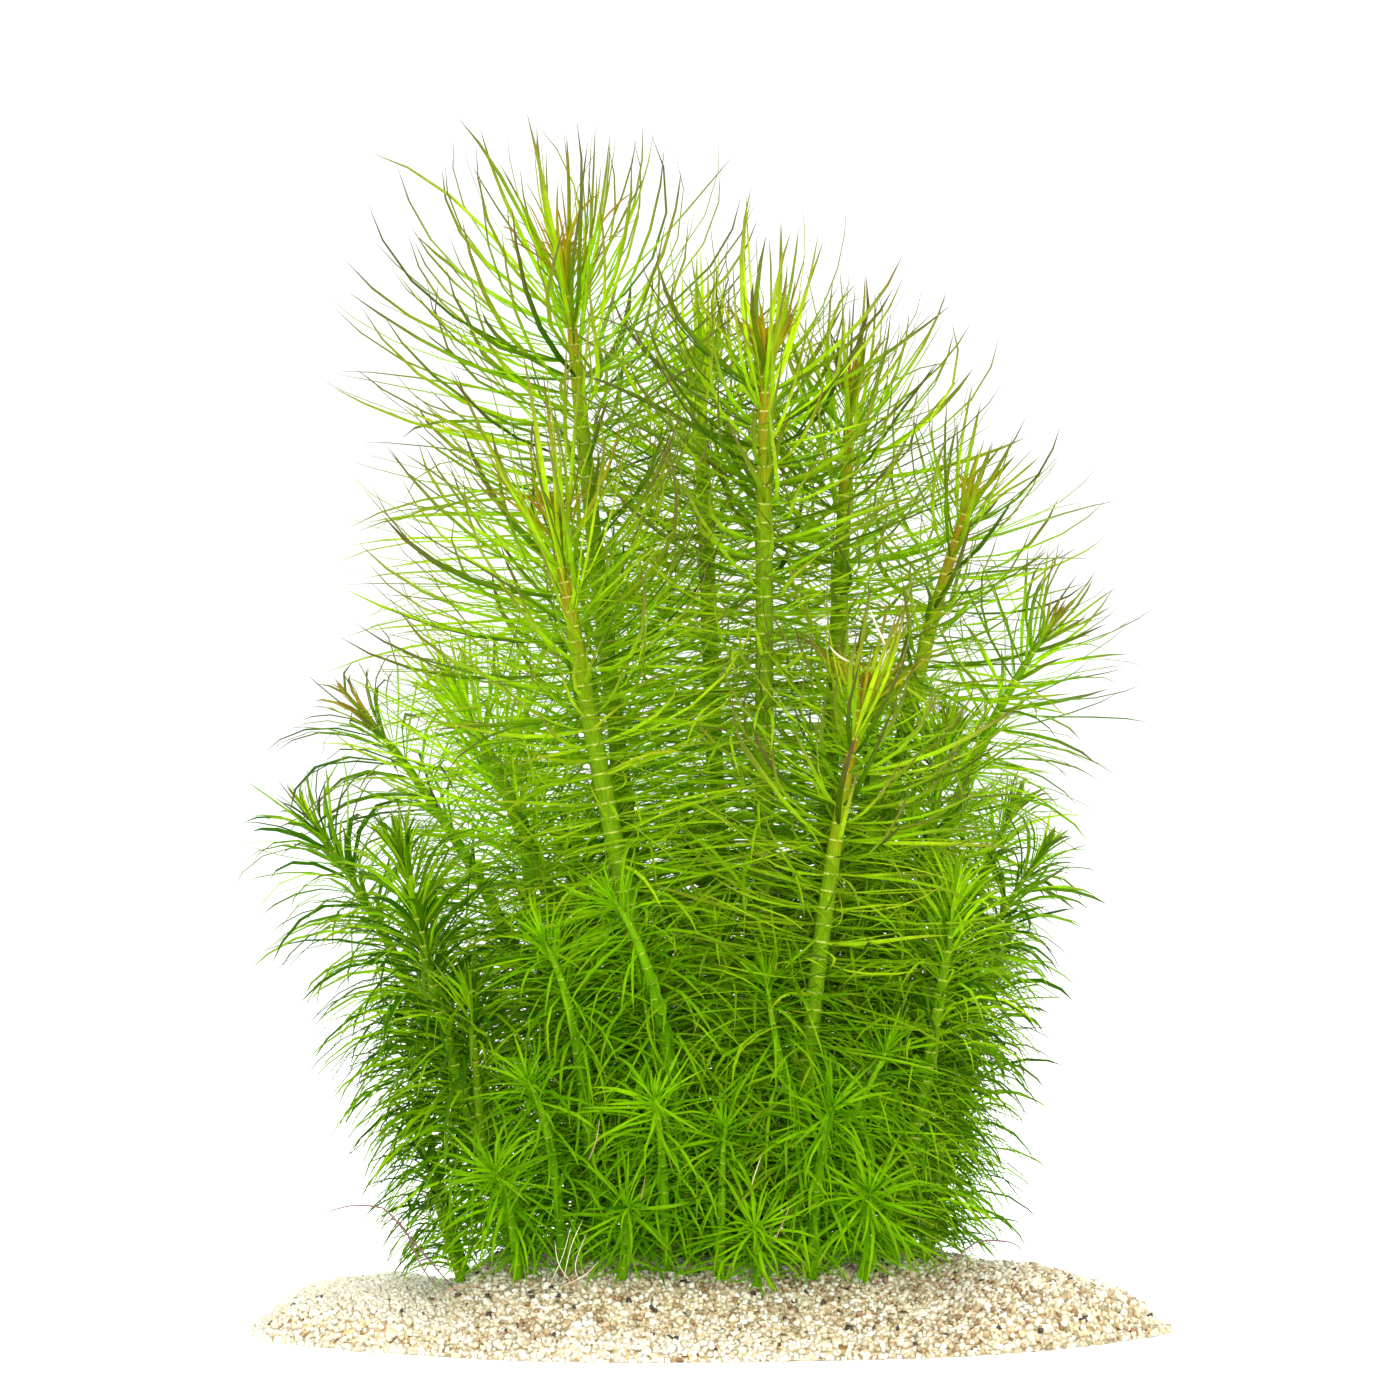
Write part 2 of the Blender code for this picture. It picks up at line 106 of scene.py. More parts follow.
# Side shoots: the shoot each one grows from, the height at which it leaves that stem, its tip,
# leaf length and how dark it is.
SIDE_SHOOTS = (
    ("mid_left", 52, (-38, -14, 92), 30, 0.3),
    ("dense_left", 44, (-56, -28, 84), 28, 0.4),
    ("tall_front_left", 50, (-14, -32, 86), 30, 0.2),
    ("tall_centre", 56, (4, -26, 100), 30, 0.3),
    ("front_right", 50, (16, -42, 90), 28, 0.2),
    ("front_right", 38, (46, -42, 74), 27, 0.2),
    ("mid_right", 56, (50, -22, 98), 28, 0.3),
    ("far_right", 62, (62, 6, 104), 28, 0.4),
    ("tall_left", 70, (-32, 2, 118), 30, 0.3),
    ("tall_right", 70, (38, 0, 118), 30, 0.4),
    ("tall_back", 72, (0, 14, 122), 30, 0.3),
    ("lean_right", 84, (52, -4, 128), 30, 0.3),
    ("back_right", 60, (22, 36, 102), 28, 0.4),
    ("back_tall_left", 56, (-30, 34, 100), 28, 0.4),
    ("low_left", 40, (-68, -4, 76), 22, 0.5),
    ("low_right", 40, (58, -18, 76), 19, 0.5),
)
# A shoot whose leaves stay short on one side, where another shoot stands: the way that side faces,
# the height below which they do, and the share of their length that they keep
SHORT_SIDES = {
    "tall_front_left": ((-0.95, -0.3), 168, 0.5),
    "tall_left": ((-0.95, -0.3), 160, 0.85),
}
# Stems that lean over more towards their tips: reach and lift of the bend
LEANING = {
    "far_left": (0.3, 0.62),
    "far_right": (0.25, 0.68),
    "lean_right": (0.32, 0.6),
    "mid_left": (0.34, 0.6),
    "front_right": (0.3, 0.6),
    "low_left": (0.4, 0.62),
    "low_right": (0.28, 0.66),
    "back_far_right": (0.34, 0.62),
}
STAR_LEAN = (0.2, 0.8)
SLOTS = {
    "tall": "tall_shoots", "mid": "low_shoots", "low": "low_shoots", "star": "star_shoots",
}

# How leaves stand, by their distance below the tip as a share of the shoot's opening: the angle
# from the stem in degrees at the leaf's foot, middle and end, how far its end hangs, its length
# as a share of the longest, and its width.
HABITS = {
    "tall": (
        (0.00, 6, 14, 44, 0.00, 0.13, 0.55),
        (0.05, 16, 34, 80, 0.00, 0.22, 0.60),
        (0.11, 36, 34, 52, 0.00, 0.48, 0.85),
        (0.19, 58, 42, 18, 0.00, 0.86, 1.15),
        (0.32, 72, 52, 14, 0.00, 1.00, 1.15),
        (0.60, 84, 64, 36, 0.02, 1.00, 1.10),
        (1.10, 90, 70, 66, 0.10, 1.00, 1.05),
        (1.80, 92, 74, 84, 0.25, 1.00, 1.02),
        (3.00, 86, 70, 86, 0.50, 0.98, 1.00),
        (5.00, 76, 68, 84, 0.80, 0.85, 1.00),
    ),
    "mid": (
        (0.00, 5, 10, 34, 0.00, 0.18, 0.50),
        (0.10, 24, 28, 60, 0.00, 0.44, 0.70),
        (0.22, 50, 42, 40, 0.00, 0.88, 0.92),
        (0.60, 68, 54, 56, 0.06, 1.00, 0.98),
        (1.20, 80, 66, 78, 0.25, 1.02, 0.95),
        (2.40, 74, 68, 90, 0.60, 1.05, 0.95),
        (5.00, 64, 66, 90, 0.90, 1.00, 0.95),
    ),
    "low": (
        (0.00, 4, 6, 30, 0.00, 0.30, 0.65),
        (0.12, 14, 26, 66, 0.06, 0.60, 0.80),
        (0.28, 36, 44, 80, 0.16, 0.92, 0.90),
        (0.60, 48, 60, 92, 0.36, 1.00, 0.90),
        (1.40, 56, 66, 100, 0.66, 1.08, 0.88),
        (3.00, 56, 66, 100, 0.95, 1.10, 0.88),
        (6.00, 54, 66, 98, 1.10, 1.05, 0.90),
    ),
    "star": (
        (0.00, 8, 14, 34, 0.00, 0.28, 0.62),
        (0.08, 26, 42, 66, 0.00, 0.55, 0.74),
        (0.22, 54, 66, 84, 0.05, 0.88, 0.82),
        (0.50, 72, 80, 96, 0.18, 1.00, 0.84),
        (1.20, 80, 80, 98, 0.55, 1.12, 0.84),
        (3.00, 76, 76, 90, 0.90, 1.22, 0.84),
        (6.00, 86, 84, 100, 1.40, 1.10, 0.90),
    ),
}
# The way from one ring of leaves to the next below the tip, and how fast it grows
FIRST_STEPS = {
    "tall": (1.9, 1.28), "mid": (1.8, 1.3), "low": (2.1, 1.3), "star": (1.8, 1.35),
}
# Where a leaf's blade is cut into bands, along its length
LONG_CUTS = (0.08, 0.26, 0.46, 0.66, 0.84)
SHORT_CUTS = (0.1, 0.36, 0.6, 0.82)
# How much the leaves of one shoot differ: angles in degrees at the foot, middle and end, then shares
BEND_SCATTER = (5, 6, 27)
TURN_SCATTER = 0.12
AGE_SCATTER = 0.12
LENGTH_SCATTER = 0.1
WIDTH_SCATTER = 0.14
HANG_SCATTER = 0.35
SWAY_SCATTER = 0.34
WAVE_SCATTER = 0.14
TWIST_SCATTER = 0.4
ROLL_SCATTER = {"tall": 0.5, "mid": 0.5, "low": 0.5, "star": 0.2}
SHADE_SCATTER = 0.26
# Some young leaves of the tall shoots stand up straight, and some leaves are as thin as hair
UPRIGHT_SHARE = 0.25
UPRIGHT_FROM = 0.14
UPRIGHT_TO = 0.4
HAIR_SHARE = 0.06
COPPERY_HAIR_SHARE = 0.2
# A blade's keel as a share of its half width, for a leaf and for a round dry strand
LEAF_KEEL = 0.48
STRAND_KEEL = 1.5
SHARP_EDGE = math.radians(50)

# A leaf's centre line has this many steps, keeps between two heights, and clears stems and gravel
PATH_STEPS = 24
FREE_STEPS = 3
LEAVES_ABOVE = 14.5
LEAVES_ABOVE_LEFT = 11.0
LEAVES_BELOW = 304.0
GRAVEL_GAP = 0.9
STEM_GAP = 0.7
FITTING_ROUNDS = 3
SIDESTEPS = (11, -11, 22, -22, 34, -34)
CUT_BACK = 0.12

# Dry strands, each with its points, width and tone from purple-brown to straw
STRAND_CUTS = (0.1, 0.2, 0.3, 0.4, 0.5, 0.6, 0.7, 0.8, 0.9)
WIRY_STRANDS = (
    (((-58, -46, 13), (-66, -45, 22), (-73, -43, 30), (-77, -42, 34), (-84, -41, 34.5),
      (-90, -41, 33), (-92, -41, 29)), 0.5, 0.0),
    (((-64, -38, 14), (-68, -39, 20), (-71, -40, 27), (-74, -40, 31), (-79, -39, 30)), 0.4, 0.1),
    (((58, -40, 14), (62, -40, 21), (67, -40, 25.5), (73, -41, 26), (77, -41, 25),
      (80, -41, 22)), 0.45, 0.0),
    (((-52, -46, 16), (-60, -47, 15), (-66, -48, 11)), 0.36, 0.4),
    (((48, -42, 18), (57, -44, 16), (64, -45, 17)), 0.34, 0.3),
)
STRAW_STRANDS = (
    (((-27, -52, 46), (-25, -56, 51), (-24, -58, 57)), 0.36, 0.6),
    (((-16, -54, 33), (-14, -58, 38), (-13, -60, 44)), 0.36, 0.5),
    (((12, -54, 38), (13, -58, 43), (15, -59, 49)), 0.36, 0.7),
    (((17, -55, 26), (19, -59, 30), (22, -60, 37)), 0.36, 0.5),
    (((-36, -52, 17), (-33, -56, 24), (-31, -57, 31)), 0.26, 0.9),
    (((-33, -54, 17), (-31, -57, 26), (-28, -57, 33)), 0.22, 1.0),
    (((-29, -54, 17), (-30, -57, 22), (-27, -58, 30)), 0.22, 1.0),
    (((-34, -55, 16), (-28, -57, 19), (-24, -57, 23)), 0.22, 0.9),
    (((-31, -54, 17), (-34, -57, 22), (-35, -58, 28)), 0.22, 1.0),
)
DEAD_LEAVES = (
    (((44, -37, 165), (45, -41, 170), (43, -43, 175), (41, -44, 180)), 0.8, 1.0),
    (((38, -38, 166), (34, -42, 168), (31, -44, 171)), 0.6, 0.95),
)

# Stems: sides, the share of its width that a growing tip has, how far down it fills out, how much
# thicker the foot is, and half the height and the swelling of the pale ring at a node
STEM_SIDES = 12
TIP_WIDTH = 0.22
FILLS_OUT = 21
FOOT_SWELL = 0.15
RING_HALF = 0.34
RING_SWELL = 1.06
BARE_ABOVE_GRAVEL = 1.5
SIDE_STEM_WIDTH = 2.6
SIDE_OPENING = 16

# Gravel: the grains' spacing and size, how far the mound lies under them, the bands they are joined
# in from back to front, and the share of the way out past which they thin to a rim
GRAIN_SPACING = 1.4
GRAIN_SIZE = 0.92
MOUND_SHARE = 0.985
MOUND_BELOW = 0.8
GRAIN_BANDS = (("back", 14, 999), ("middle", -26, 14), ("front", -999, -26))
RIM_FROM = 0.93
RIM_FLATTEN = 0.85
SPECK_SHARE = 0.985


def smooth_step(low, high, value):
    """0 below low, 1 above high and a smooth rise between them."""
    share = np.clip((value - low) / (high - low), 0, 1)
    return share * share * (3 - 2 * share)


def bed_outline(angle):
    """How far the bed's edge bulges out or in at this angle, as a share of its half length."""
    return 1 + 0.022 * np.sin(3 * angle + 0.6) + 0.014 * np.sin(7 * angle + 2.0)


def bed_out(x, y):
    """How far out a point lies, from 0 in the middle of the bed to 1 at its edge."""
    angle = np.arctan2(y / BED_HALF_Y, x / BED_HALF_X)
    return np.hypot(x / BED_HALF_X, y / BED_HALF_Y) / bed_outline(angle)


def bed_height(x, y):
    """Height of the gravel: a flat crown that falls to a thin rim, and sooner on the left."""
    out = bed_out(x, y)
    lumps = 0.5 * np.sin(x / 9 + 1) * np.cos(y / 8) + 0.35 * np.sin(x / 5 - y / 6)
    crown = 1 - smooth_step(BED_FLAT, BED_FOOT, out)
    crown = crown * (1 - LEFT_DIP * smooth_step(LEFT_DIP_FROM, LEFT_DIP_TO, -x))
    ends = smooth_step(*SHOULDER_ACROSS, np.abs(x)) * smooth_step(*SHOULDER_RISE, out)
    ends = END_SHOULDER * ends * (1 - smooth_step(*SHOULDER_FALL, out))
    return BED_RIM + (BED_TOP - BED_RIM) * crown + ends + lumps * (1 - out) * crown


def unit(vectors):
    """The vectors at length 1."""
    return vectors / np.maximum(np.linalg.norm(vectors, axis=-1, keepdims=True), 1e-9)


class Stem:
    """One stem's centre line, measured downwards from its growing tip."""

    SAMPLES = 160

    def __init__(self, foot, tip, reach, lift, width, bare):
        foot = np.array(foot, float)
        tip = np.array(tip, float)
        rise = tip - foot
        bend = foot + rise * (reach, reach, lift)
        t = np.linspace(0, 1, self.SAMPLES + 1)[:, None]
        self.line = (1 - t) ** 2 * tip + 2 * t * (1 - t) * bend + t * t * foot
        steps = np.linalg.norm(np.diff(self.line, axis=0), axis=1)
        self.downs = np.concatenate([[0], np.cumsum(steps)])
        self.length = self.downs[-1]
        self.ups = unit(-np.gradient(self.line, axis=0))
        self.width = width
        self.bare = bare

    def at(self, down):
        """Centre, upward direction and two cross directions at each distance below the tip."""
        centre = np.stack([np.interp(down, self.downs, self.line[:, i]) for i in range(3)], -1)
        up = unit(np.stack([np.interp(down, self.downs, self.ups[:, i]) for i in range(3)], -1))
        first = unit(np.array((1.0, 0, 0)) - up[:, :1] * up)
        return centre, up, first, np.cross(up, first)

    def radius(self, down):
        """Thin where the stem is young, and a little thicker towards the foot."""
        young = TIP_WIDTH + (1 - TIP_WIDTH) * (1 - np.exp(-down / FILLS_OUT))
        return self.width / 2 * young * (1 + FOOT_SWELL * down / self.length)

    def nodes(self, spacing, kind):
        """How far below the tip each ring of leaves grows: close in the bud, then evenly spaced."""
        step, growth = FIRST_STEPS[kind]
        downs = []
        down = 0.8
        while down < self.length - self.bare:
            downs.append(down)
            down += step
            step = min(step * growth, spacing)
        return np.array(downs)


def mesh_of(name, points, corners, sizes):
    """A mesh in metres from points in millimetres, face corners and the number at each face."""
    mesh = bpy.data.meshes.new(name)
    mesh.vertices.add(len(points))
    mesh.vertices.foreach_set("co", (np.asarray(points, np.float32) * MM).ravel())
    mesh.loops.add(len(corners))
    mesh.loops.foreach_set("vertex_index", np.asarray(corners, np.int32))
    mesh.polygons.add(len(sizes))
    starts = np.concatenate([[0], np.cumsum(sizes)[:-1]])
    mesh.polygons.foreach_set("loop_start", starts.astype(np.int32))
    mesh.update(calc_edges=True)
    return mesh


def set_values(mesh, **values):
    """Stores one number at each point under each name, for a material to read."""
    for name, numbers in values.items():
        attribute = mesh.attributes.new(name, "FLOAT", "POINT")
        attribute.data.foreach_set("value", np.asarray(numbers, np.float32).ravel())


def add_piece(mesh, material, node):
    """Puts a finished mesh in the scene as a piece that stands for a node of the frame."""
    piece = bpy.data.objects.new(mesh.name, mesh)
    bpy.context.scene.collection.objects.link(piece)
    mesh.materials.append(material)
    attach(piece, "root")
    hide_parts(node)


def points_of(mesh):
    """The points of a mesh, one row each."""
    points = np.empty(len(mesh.vertices) * 3)
    mesh.vertices.foreach_get("co", points)
    return points.reshape(-1, 3)


def numbers_of(items, quality):
    """One whole number for each corner or face of a mesh."""
    numbers = np.empty(len(items), np.int32)
    items.foreach_get(quality, numbers)
    return numbers


def place_points(mesh, points):
    """Moves a mesh's points to places in millimetres."""
    mesh.vertices.foreach_set("co", (points * MM).astype(np.float32).ravel())
    mesh.update()


def take_mesh(thing):
    """The points, face corners and face sizes of a modelled object, which is then removed."""
    mesh = thing.data
    shape = (
        points_of(mesh),
        numbers_of(mesh.loops, "vertex_index"),
        numbers_of(mesh.polygons, "loop_total"),
    )
    bpy.data.objects.remove(thing)
    return shape


def join_copies(name, points, corners, sizes, **values):
    """One mesh of many copies of a shape, each with its own points and its own numbers."""
    count, each = points.shape[:2]
    corners = (corners[None, :] + np.arange(count)[:, None] * each).ravel()
    mesh = mesh_of(name, points.reshape(-1, 3), corners, np.tile(sizes, count))
    set_values(mesh, **{key: np.broadcast_to(row, (count, each)) for key, row in values.items()})
    return mesh


# The blade that every leaf is a copy of


def model_blade(cuts):
    """A three-sided blade of length 1 along +Z, with a flat upper side and a keel, cut into bands."""
    bpy.ops.mesh.primitive_cone_add(
        vertices=3, radius1=1, radius2=0, depth=1, location=(0, 0, 0.5), rotation=(0, 0, math.pi)
    )
    blade = bpy.context.object
    bpy.ops.object.transform_apply(location=True, rotation=True, scale=True)
    bpy.ops.object.mode_set(mode="EDIT")
    for cut in cuts:
        bpy.ops.mesh.select_all(action="SELECT")
        bpy.ops.mesh.bisect(plane_co=(0, 0, cut), plane_no=(0, 0, 1))
    bpy.ops.mesh.select_all(action="SELECT")
    bpy.ops.mesh.normals_make_consistent(inside=False)
    bpy.ops.object.mode_set(mode="OBJECT")
    points, corners, sizes = take_mesh(blade)
    along = points[:, 2]
    taper = np.maximum(1 - along, 1e-6)
    across = points[:, 0] / taper / math.cos(math.radians(30))
    depth = (points[:, 1] / taper - 0.5) / 1.5
    across[along > 0.999] = 0
    depth[along > 0.999] = 0
    return along, across, depth, corners, sizes


def blade_outline(along):
    """The blade's width along it, as a share of its widest: even for most of it, then pointed."""
    foot = 0.36 + 0.64 * np.sin(np.minimum(along / 0.24, 1) * math.pi / 2)
    return foot * np.maximum(1 - along ** 4.6, 0) ** 0.85


def leaf_rows(habit, stem, rng, short_side=None):
    """Where every leaf of a shoot grows and how it bends, as one array for each quality."""
    opening, longest, spacing, around, copper, dark, kind = habit
    downs = stem.nodes(spacing, kind)
    down = np.repeat(downs, around)
    whorl = np.repeat(np.arange(len(downs)), around)
    place = np.tile(np.arange(around), len(downs))
    count = len(down)
    turn = (place + 0.5 * (whorl % 2)) * math.tau / around + 0.06 * whorl
    turn = turn + rng.normal(0, TURN_SCATTER, count)
    down_here = down + rng.uniform(-0.3, 0.3, count)
    centre, up, first, second = stem.at(np.maximum(down_here, 0.1))
    out = np.cos(turn)[:, None] * first + np.sin(turn)[:, None] * second
    root = centre + out * (stem.radius(down) * 0.8)[:, None]
    stances = np.array(HABITS[kind]).T
    share = down / opening * np.exp(rng.normal(0, AGE_SCATTER, count))
    at_foot, at_middle, at_end, hang, length, blade = (
        np.interp(share, stances[0], row) for row in stances[1:]
    )
    young = 1 - smooth_step(0.05, 0.19, share)
    old = smooth_step(0.8, 2.6, share)
    crown = 1 - smooth_step(0.6, 1.6, share)
    upright = (rng.uniform(0, 1, count) < UPRIGHT_SHARE) & (kind == "tall")
    upright &= (share > UPRIGHT_FROM) & (share < UPRIGHT_TO)
    still = np.where(upright, 0.35, 1.0)
    hair = rng.uniform(0, 1, count) < (COPPERY_HAIR_SHARE if copper > 0.5 else HAIR_SHARE)
    scatter = rng.normal(0, 1, (6, count)) * (1 - 0.35 * old)
    swing = scatter[0] * BEND_SCATTER[0]
    at_foot = np.radians(at_foot * still + swing)
    at_middle = np.radians(at_middle * still + swing + scatter[1] * BEND_SCATTER[1])
    at_end = np.radians(at_end * still + swing + scatter[2] * BEND_SCATTER[2])
    hang = hang * np.exp(scatter[3] * HANG_SCATTER)
    length = longest * length * np.clip(rng.normal(1, LENGTH_SCATTER, count), 0.72, 1.12)
    if short_side:
        facing, below, keeps = short_side
        there = smooth_step(-0.1, 0.5, out[:, 0] * facing[0] + out[:, 1] * facing[1])
        length = length * (1 - (1 - keeps) * there * smooth_step(below, below - 30, root[:, 2]))
    blade = blade * np.clip(np.exp(rng.normal(0, WIDTH_SCATTER, count)), 0.75, 1.3)
    blade = blade * np.where(hair, 0.6, 1)
    # Painted shade: leaves low in the clump and behind its front are painted a deeper green, where
    # shade falls inside the clump.
    inner = (1 - smooth_step(60, 140, root[:, 2])) * smooth_step(-55, -25, root[:, 1])
    # Painted shade: the older leaves of the outer shoots, out to either side, are painted darker.
    aside = smooth_step(30, 62, np.abs(root[:, 0]))
    # Crown leaves take their shoot's dark value: partly their own deeper green, partly painted shade.
    shade = crown * dark + (1 - crown) * (0.04 + 0.2 * aside) - 0.3 * upright
    shade = shade + 0.42 * inner * (kind != "star")
    shade = np.clip(shade + rng.normal(0, SHADE_SCATTER, count), 0, 1)
    blade = blade * (0.88 + 0.46 * (shade * crown) ** 2)
    grey = np.clip(rng.normal(0.1, 0.2, count) + 0.9 * copper * crown, 0, 1)
    grey = grey * (1 - 0.75 * young) * (1 - 0.5 * old)
    return {
        "root": root, "up": up, "out": out, "side": np.cross(up, out), "length": length,
        "at_foot": at_foot, "at_middle": at_middle, "at_end": at_end, "hang": hang,
        "sway": scatter[4] * SWAY_SCATTER, "wave": scatter[5] * WAVE_SCATTER,
        "roll": rng.normal(0, ROLL_SCATTER[kind], count),
        "twist": rng.normal(0, TWIST_SCATTER, count), "blade": blade, "age": old,
        "copper": copper * np.clip(young * 1.1 + rng.normal(0, 0.10, count), 0, 1),
        "shade": shade,
        "grey": np.where(hair, np.maximum(grey, 0.6), grey) * (1 - 0.7 * old),
    }


def leaf_lines(rows, chosen, turned=0.0):
    """The centre lines of the chosen leaves: points and directions at every step from root to tip."""
    def pick(key):
        return rows[key][chosen]

    count = len(chosen)
    step = 1 / PATH_STEPS
    at = pick("root").copy()
    lines = np.empty((count, PATH_STEPS + 1, 3))
    ways = np.empty((count, PATH_STEPS + 1, 3))
    for i in range(PATH_STEPS + 1):
        t = i * step
        tilt = (1 - t) ** 2 * pick("at_foot") + 2 * t * (1 - t) * pick("at_middle")
        tilt = tilt + t * t * pick("at_end")
        sway = turned + pick("sway") * t + pick("wave") * math.sin(t * 5)
        aside = np.cos(sway)[:, None] * pick("out") + np.sin(sway)[:, None] * pick("side")
        way = np.cos(tilt)[:, None] * pick("up") + np.sin(tilt)[:, None] * aside
        way[:, 2] -= pick("hang") * t ** 1.3 * 1.8
        way = unit(way)
        lines[:, i], ways[:, i] = at, way
        at = at + way * (pick("length") * step)[:, None]
    return lines, ways


def lowest_leaves(x):
    """How low a leaf may hang: just above the gravel, and lower over the bed's low left end."""
    return LEAVES_ABOVE + (LEAVES_ABOVE_LEFT - LEAVES_ABOVE) * smooth_step(42, 66, -x)


def first_touch(lines, tree, clearances):
    """The share of each leaf's length that it keeps before it meets another stem or the gravel."""
    gravel = bed_height(lines[..., 0], lines[..., 1]) + GRAVEL_GAP
    buried = lines[..., 2] < np.maximum(gravel, lowest_leaves(lines[..., 0]))
    kept = np.where(buried.any(1), buried.argmax(1) / PATH_STEPS, 1.0)
    for i, line in enumerate(lines):
        for step in range(FREE_STEPS, PATH_STEPS + 1):
            _, index, distance = tree.find(line[step])
            if distance < clearances[index]:
                kept[i] = min(kept[i], step / PATH_STEPS)
                break
    return kept


def clear_lines(rows, tree, clearances):
    """Every leaf's centre line, turned aside or cut short where it would run through a stem."""
    everything = np.arange(len(rows["length"]))
    # Leaves that reach too high are shortened, and those that reach too low also hang less
    for _ in range(FITTING_ROUNDS):
        lines, _ = leaf_lines(rows, everything)
        low = (lines[..., 2] - lowest_leaves(lines[..., 0])).min(1) < 1
        high = lines[..., 2].max(1) > LEAVES_BELOW
        rows["length"] = np.where(high, rows["length"] * 0.93, rows["length"])
        rows["hang"] = np.where(low, rows["hang"] * 0.45, rows["hang"])
        rows["at_end"] = np.where(low, rows["at_end"] - 0.3, rows["at_end"])
        rows["length"] = np.where(low, rows["length"] * 0.88, rows["length"])
    lines, ways = leaf_lines(rows, everything)
    kept = first_touch(lines, tree, clearances)
    blocked = everything[kept < 1]
    for degrees in SIDESTEPS:
        if not len(blocked):
            break
        new_lines, new_ways = leaf_lines(rows, blocked, math.radians(degrees))
        new_kept = first_touch(new_lines, tree, clearances)
        better = new_kept > kept[blocked]
        chosen = blocked[better]
        lines[chosen], ways[chosen] = new_lines[better], new_ways[better]
        kept[chosen] = new_kept[better]
        blocked = everything[kept < 1]
    share = np.where(kept < 1, np.maximum(kept - CUT_BACK, CUT_BACK), 1.0)
    return lines, ways, share


def sweep_blades(rows, lines, ways, share, blade, keel_share=LEAF_KEEL):
    """The points of every leaf: the modelled blade laid along each centre line."""
    along, across, depth = blade[:3]
    where = along[None, :] * share[:, None] * PATH_STEPS
    low = np.minimum(where.astype(int), PATH_STEPS - 1)
    part = (where - low)[..., None]
    leaf = np.arange(len(lines))[:, None]
    centre = lines[leaf, low] * (1 - part) + lines[leaf, low + 1] * part
    way = unit(ways[leaf, low] * (1 - part) + ways[leaf, low + 1] * part)
    side = rows["side"][:, None, :] - (rows["side"][:, None, :] * way).sum(-1, keepdims=True) * way
    side = unit(side)
    face = np.cross(way, side)
    twist = (rows["roll"][:, None] + rows["twist"][:, None] * along[None, :])[..., None]
    flat = side * np.cos(twist) + face * np.sin(twist)
    face = face * np.cos(twist) - side * np.sin(twist)
    half = (rows["blade"][:, None] * blade_outline(along)[None, :] / 2)[..., None]
    keel = half * keel_share
    return centre + flat * half * across[None, :, None] + face * keel * depth[None, :, None]


def grow_leaves(name, node, rows, lines, ways, share, blade, material):
    """All the leaves of one shoot, as one joined mesh."""
    points = sweep_blades(rows, lines, ways, share, blade)
    values = {key: rows[key][:, None] for key in ("shade", "copper", "grey", "age")}
    mesh = join_copies("leaves_" + name, points, *blade[3:], along=blade[0], **values)
    mesh.shade_smooth()
    mesh.set_sharp_from_angle(angle=SHARP_EDGE)
    add_piece(mesh, material, node)


# Stems


def stem_rings(stem, spacing, kind):
    """Distance below the tip, swelling and ring colour of every ring of a stem's points."""
    rings = [(0.0, 0.35, 0.0)]
    for node in stem.nodes(spacing, kind):
        full = 1.0 if node > 5 else 0.2
        rings.append((node - RING_HALF, 1.0, 0.0))
        rings.append((node, RING_SWELL, full))
        rings.append((node + RING_HALF, 1.0, 0.0))
    for short in (4.0, 2.0, 0.0):
        rings.append((stem.length - short, 1.0, 0.0))
    return np.array(rings).T


def grow_stem(name, node, stem, spacing, kind, material):
    """A stem modelled from a cylinder: banded in edit mode, then each ring set on the centre line."""
    downs, swells, marks = stem_rings(stem, spacing, kind)
    bpy.ops.mesh.primitive_cylinder_add(vertices=STEM_SIDES, radius=1, depth=1)
    thing = bpy.context.object
    mesh = thing.data
    bpy.ops.object.mode_set(mode="EDIT")
    bpy.ops.mesh.select_mode(type="EDGE")
    for cuts in ((len(downs) - 1) // 3 - 1, 2):
        bpy.ops.mesh.select_all(action="DESELECT")
        bpy.ops.object.mode_set(mode="OBJECT")
        for edge in mesh.edges:
            low, high = (mesh.vertices[i].co.z for i in edge.vertices)
            edge.select = abs(low - high) > 0.0001
        bpy.ops.object.mode_set(mode="EDIT")
        bpy.ops.mesh.subdivide(number_cuts=cuts)
    bpy.ops.object.mode_set(mode="OBJECT")
    points = points_of(mesh)
    ring = np.rint((0.5 - points[:, 2]) * (len(downs) - 1)).astype(int)
    down = downs[ring]
    centre, _, first, second = stem.at(down)
    radius = stem.radius(down) * swells[ring]
    angle = np.arctan2(points[:, 1], points[:, 0])
    placed = centre + radius[:, None] * (
        np.cos(angle)[:, None] * first + np.sin(angle)[:, None] * second
    )
    place_points(mesh, placed)
    corners = numbers_of(mesh.loops, "vertex_index")
    starts = numbers_of(mesh.polygons, "loop_start")
    around = angle[corners] / math.tau
    first_around = np.repeat(around[starts], numbers_of(mesh.polygons, "loop_total"))
    around = around + np.round(first_around - around)
    sheet = np.stack([around * 6, down[corners] / 30], -1)
    unwrap = mesh.uv_layers[0] if mesh.uv_layers else mesh.uv_layers.new()
    unwrap.name = "stem_skin"
    unwrap.data.foreach_set("uv", sheet.astype(np.float32).ravel())
    set_values(mesh, ring=marks[ring], age=smooth_step(6, 60, down))
    mesh.shade_smooth()
    mesh.name = "stem_" + name
    bpy.data.objects.remove(thing)
    add_piece(mesh, material, node)


# Gravel


